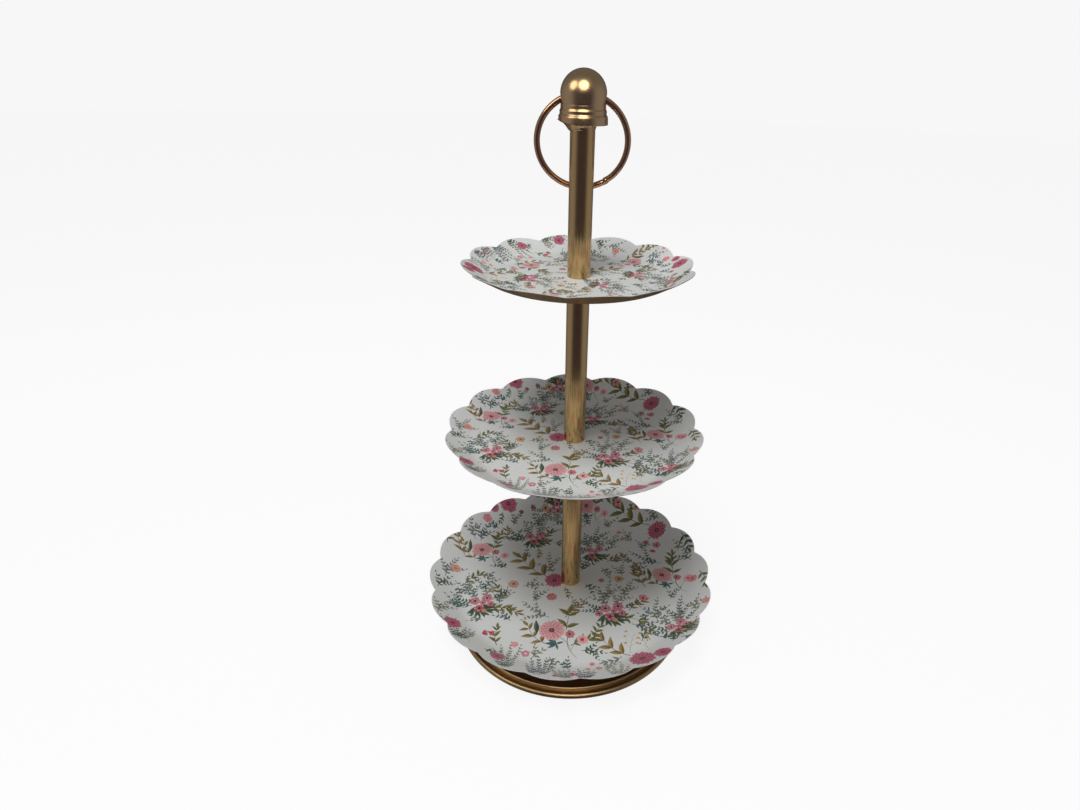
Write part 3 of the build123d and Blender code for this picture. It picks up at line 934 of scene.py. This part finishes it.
# Painted reflection: inside the bead, under the tray, the gold is mixed towards red, standing in for the
# tray's bronze underside seen in the metal.
painted_reflection_mask = tree.nodes.new("ShaderNodeMapRange")
painted_reflection_mask.interpolation_type = "SMOOTHSTEP"
painted_reflection_mask.inputs["From Min"].default_value = 0.110
painted_reflection_mask.inputs["From Max"].default_value = 0.098
painted_reflection_mask.inputs["To Max"].default_value = 0.85
painted_reflection_mix = tree.nodes.new("ShaderNodeMix")
painted_reflection_mix.data_type = "RGBA"
painted_reflection_mix.inputs["B"].default_value = (0.62, 0.25, 0.17, 1)
tree.links.new(plan_length(tree, spot.outputs["Object"]), painted_reflection_mask.inputs["Value"])
tree.links.new(painted_reflection_mask.outputs[0], painted_reflection_mix.inputs["Factor"])
tree.links.new(worn_tone, painted_reflection_mix.inputs["A"])
tree.links.new(painted_reflection_mix.outputs["Result"], tree.nodes["Principled BSDF"].inputs["Base Color"])
seat_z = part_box("foot")[1].z / MM
section = [(4.4, seat_z), (22.0, seat_z)] + arc((24.0, seat_z - 7.0), 7.0, 82, 42, 6)
section += [(34.6, 31.6), (38.5, 27.2)] + arc((68.0, 43.6), 30.0, 213, 260, 10)
section += [(72, 13.3), (84, 11.2), (96, 9.2), (106, 7.5)]
section += arc((110.9, 6.5), 1.8, 150, -25, 10) + arc((116.0, 2.9), 3.0, 128, -70, 18)
section += [(115.2, 0.0), (113.6, 1.6), (112.9, 3.2), (111.3, 4.7), (109.6, 5.2)]
section += [(106, 6.3), (84, 10.0), (66, 13.0), (56, 15.4), (46.5, 19.6), (36.5, 29.0)]
section += [(30.5, 35.4), (26.5, 37.7), (22, 38.0), (4.4, 38.0)]
finished(lathe("foot_spun", section, 192), foot_gold, "stand", "gold_lacquer", "foot", angle=50)

# Finial: a hollow cap, turned with two steps and a flared mouth, and drilled across for the ring.
# Its mouth is melted back at the left, where the braze runs thickest.
CAP_RADIUS, CAP_WALL = 18.1, 1.4
cap_gold = gold("cap_gold", (0.55, 0.385, 0.22), 0.24, 0.2, 40, relief=0)
top_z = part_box("finial_cap")[1].z / MM
lip_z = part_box("finial_cap")[0].z / MM
dome_z = top_z - CAP_RADIUS
section = arc((0, dome_z), CAP_RADIUS, 89.8, 0, 26)
section += [(18.0, 516.2), (17.9, 514.0), (17.8, 512.0), (17.75, 511.1), (17.64, 510.9), (17.64, 510.6)]
section += [(17.74, 510.2), (17.78, 509.4), (17.8, 508.0), (17.86, 507.3), (18.16, 506.9), (18.45, 506.3)]
section += [(18.55, 505.9), (18.5, 505.3), (18.42, 504.6), (18.45, 503.8), (18.6, 503.3), (18.95, 502.8)]
section += [(19.25, 502.3), (19.45, 501.7), (19.55, 500.6), (19.65, 499.0), (19.7, 497.6), (19.7, 496.6)]
section += arc((19.3, 496.5), 0.5, 0, -90, 4)
section += [(17.8, lip_z), (16.2, lip_z + 0.3), (16.0, 498), (16.0, 512), (16.5, 516)]
section += arc((0, dome_z), CAP_RADIUS - CAP_WALL, 0, 89.7, 14)
cap = lathe("finial_cap_turned", section, 160)
PIVOT_Z, HOLE_RADIUS = 514.3, 4.0
bpy.ops.object.select_all(action="DESELECT")
bpy.ops.mesh.primitive_cylinder_add(vertices=48, radius=HOLE_RADIUS * MM, depth=60 * MM,
                                    location=(0, 0, PIVOT_Z * MM), rotation=(0, math.pi / 2, 0))
drill = bpy.context.object
bpy.context.view_layer.objects.active = cap
hole = cap.modifiers.new("cross_hole", "BOOLEAN")
hole.operation, hole.solver, hole.object = "DIFFERENCE", "EXACT", drill
bpy.ops.object.select_all(action="DESELECT")
cap.select_set(True)
bpy.ops.object.modifier_apply(modifier=hole.name)
bpy.data.objects.remove(drill)
for vertex in cap.data.vertices:
    left = max(0.0, -vertex.co.x / (20 * MM)) ** 2
    low = max(0.0, 1 - (vertex.co.z / MM - lip_z) / 7)
    vertex.co.z += 3.2 * MM * left * low
    vertex.co.x *= 1 - 0.03 * left * low
finished(cap, cap_gold, "stand", "gold_lacquer", "finial_cap", angle=40)

# Braze: metal that ran from the cap's mouth down on to the post, thickest at the left. Its edge is
# lumpy, and the ring's joint is closed with the same metal.
BRAZE_FOOT, BRAZE_TOP = 491.9, 497.9
braze_gold = gold("braze_gold", (0.54, 0.37, 0.20), 0.22, 0.4, 120, relief=0.00002)
section = [(9.9, BRAZE_FOOT), (10.08, 492.3), (10.2, 493.0), (10.45, 493.9), (10.85, 494.8), (11.5, 495.6)]
section += [(12.6, 496.3), (14.2, 496.9), (15.7, BRAZE_TOP), (9.9, BRAZE_TOP)]
braze = lathe("finial_braze_run", section)
for vertex in braze.data.vertices:
    way = math.atan2(vertex.co.y, vertex.co.x)
    radius = math.hypot(vertex.co.x, vertex.co.y) / MM
    height = (vertex.co.z / MM - BRAZE_FOOT) / (BRAZE_TOP - BRAZE_FOOT)
    if radius < 10.0:
        continue
    left = max(0.0, -math.cos(way)) ** 1.5
    uneven_edge = 0.12 * math.sin(3 * way + 1.0) + 0.04 * math.sin(7 * way + 2.0)
    grown = radius + (4.6 * left * height**0.7 + uneven_edge * height) * (1 if radius > 10.15 else 0.3)
    vertex.co.x *= grown / radius
    vertex.co.y *= grown / radius
    ripple = 0.2 * math.sin(4 * way)
    vertex.co.z += MM * (1.6 * left * height - 1.4 * left * (1 - height) + ripple * (1 - height))
finished(braze, braze_gold, "stand", "brazing_metal", "finial_braze", angle=80)

# Ring: round wire bent to a loop through the cap and brazed, with a small kink at the joint. It
# hangs from the cap's holes and leans on the back of the post.
RING_RADIUS, WIRE_RADIUS, POST_RADIUS, REST_GAP = 36.5, 2.5, 10.0, 0.15
ring_gold = gold("ring_gold", (0.56, 0.32, 0.185), 0.16, 0.35, 60, relief=0.000006)
HALF_CHORD = 16.9
hang = math.sqrt(RING_RADIUS**2 - HALF_CHORD**2)
lean = math.asin((POST_RADIUS + WIRE_RADIUS + REST_GAP) / (hang + RING_RADIUS))
ring_centre = Vector((0, hang * math.sin(lean), PIVOT_Z - hang * math.cos(lean)))
JOINT_DEG = -57.0
bpy.ops.object.select_all(action="DESELECT")
bpy.ops.mesh.primitive_torus_add(
    major_radius=RING_RADIUS * MM, minor_radius=WIRE_RADIUS * MM, major_segments=200, minor_segments=28,
)
ring = bpy.context.object
ring.name = "handle_ring_wire"
for vertex in ring.data.vertices:
    way = math.degrees(math.atan2(vertex.co.y, vertex.co.x))
    off = way - JOINT_DEG
    kink = math.exp(-(off / 3.5) ** 2)
    vertex.co *= 1 - 0.016 * kink * math.copysign(1, off) * min(1, abs(off) / 3)
    vertex.co.z *= 1 - 0.10 * kink
ring.matrix_world = Matrix.Translation(ring_centre * MM) @ Matrix.Rotation(math.pi / 2 + lean, 4, "X")
bpy.ops.object.transform_apply(location=True, rotation=True, scale=True)
finished(ring, ring_gold, "handle", "gold_lacquer", "handle_ring", angle=60)

bpy.ops.object.select_all(action="DESELECT")
bpy.ops.mesh.primitive_uv_sphere_add(segments=40, ring_count=24, radius=WIRE_RADIUS * MM)
bead = bpy.context.object
bead.name = "ring_braze_bead"
for vertex in bead.data.vertices:
    along = vertex.co.y / MM
    vertex.co.y *= 1.35
    lump = 1.11 + 0.05 * math.sin(1.9 * along + 0.6) + 0.03 * math.sin(5 * along + vertex.co.x / MM)
    vertex.co.x *= lump
    vertex.co.z *= lump
bead.matrix_world = (
    Matrix.Translation(ring_centre * MM)
    @ Matrix.Rotation(math.pi / 2 + lean, 4, "X")
    @ Matrix.Rotation(math.radians(JOINT_DEG), 4, "Z")
    @ Matrix.Translation((RING_RADIUS * MM, 0, 0))
)
bpy.ops.object.transform_apply(location=True, rotation=True, scale=True)
finished(bead, braze_gold, "handle", "brazing_metal", "ring_braze", angle=80)

# Inside and below: turned brass inserts, zinc-plated fasteners and red-brown fibre washers. These
# keep their shapes from the frame, and only get their finishes here.
brass = gold("turned_brass", (0.66, 0.47, 0.20), 0.3, 0.2, 60)
zinc = gold("zinc_plate", (0.55, 0.56, 0.58), 0.32, 0.25, 90)
fibre = bpy.data.materials.new("vulcanised_fibre")
fibre.use_nodes = True
tree = fibre.node_tree
board = tree.nodes["Principled BSDF"]
tone = uneven(tree, 0.5, 300, (0.10, 0.032, 0.02))
tree.links.new(tone.outputs["Color"], board.inputs["Base Color"])
board.inputs["Roughness"].default_value = 0.75
finish_bump(tree, board, 900, 0.0001)
for row in frame["record"]["subparts"]:
    material = {"plain_brass": brass, "zinc_steel": zinc, "fibre": fibre}.get(row["material_slot"])
    if material:
        for holder in frame["nodes"][row["node"]].material_slots:
            holder.material = material
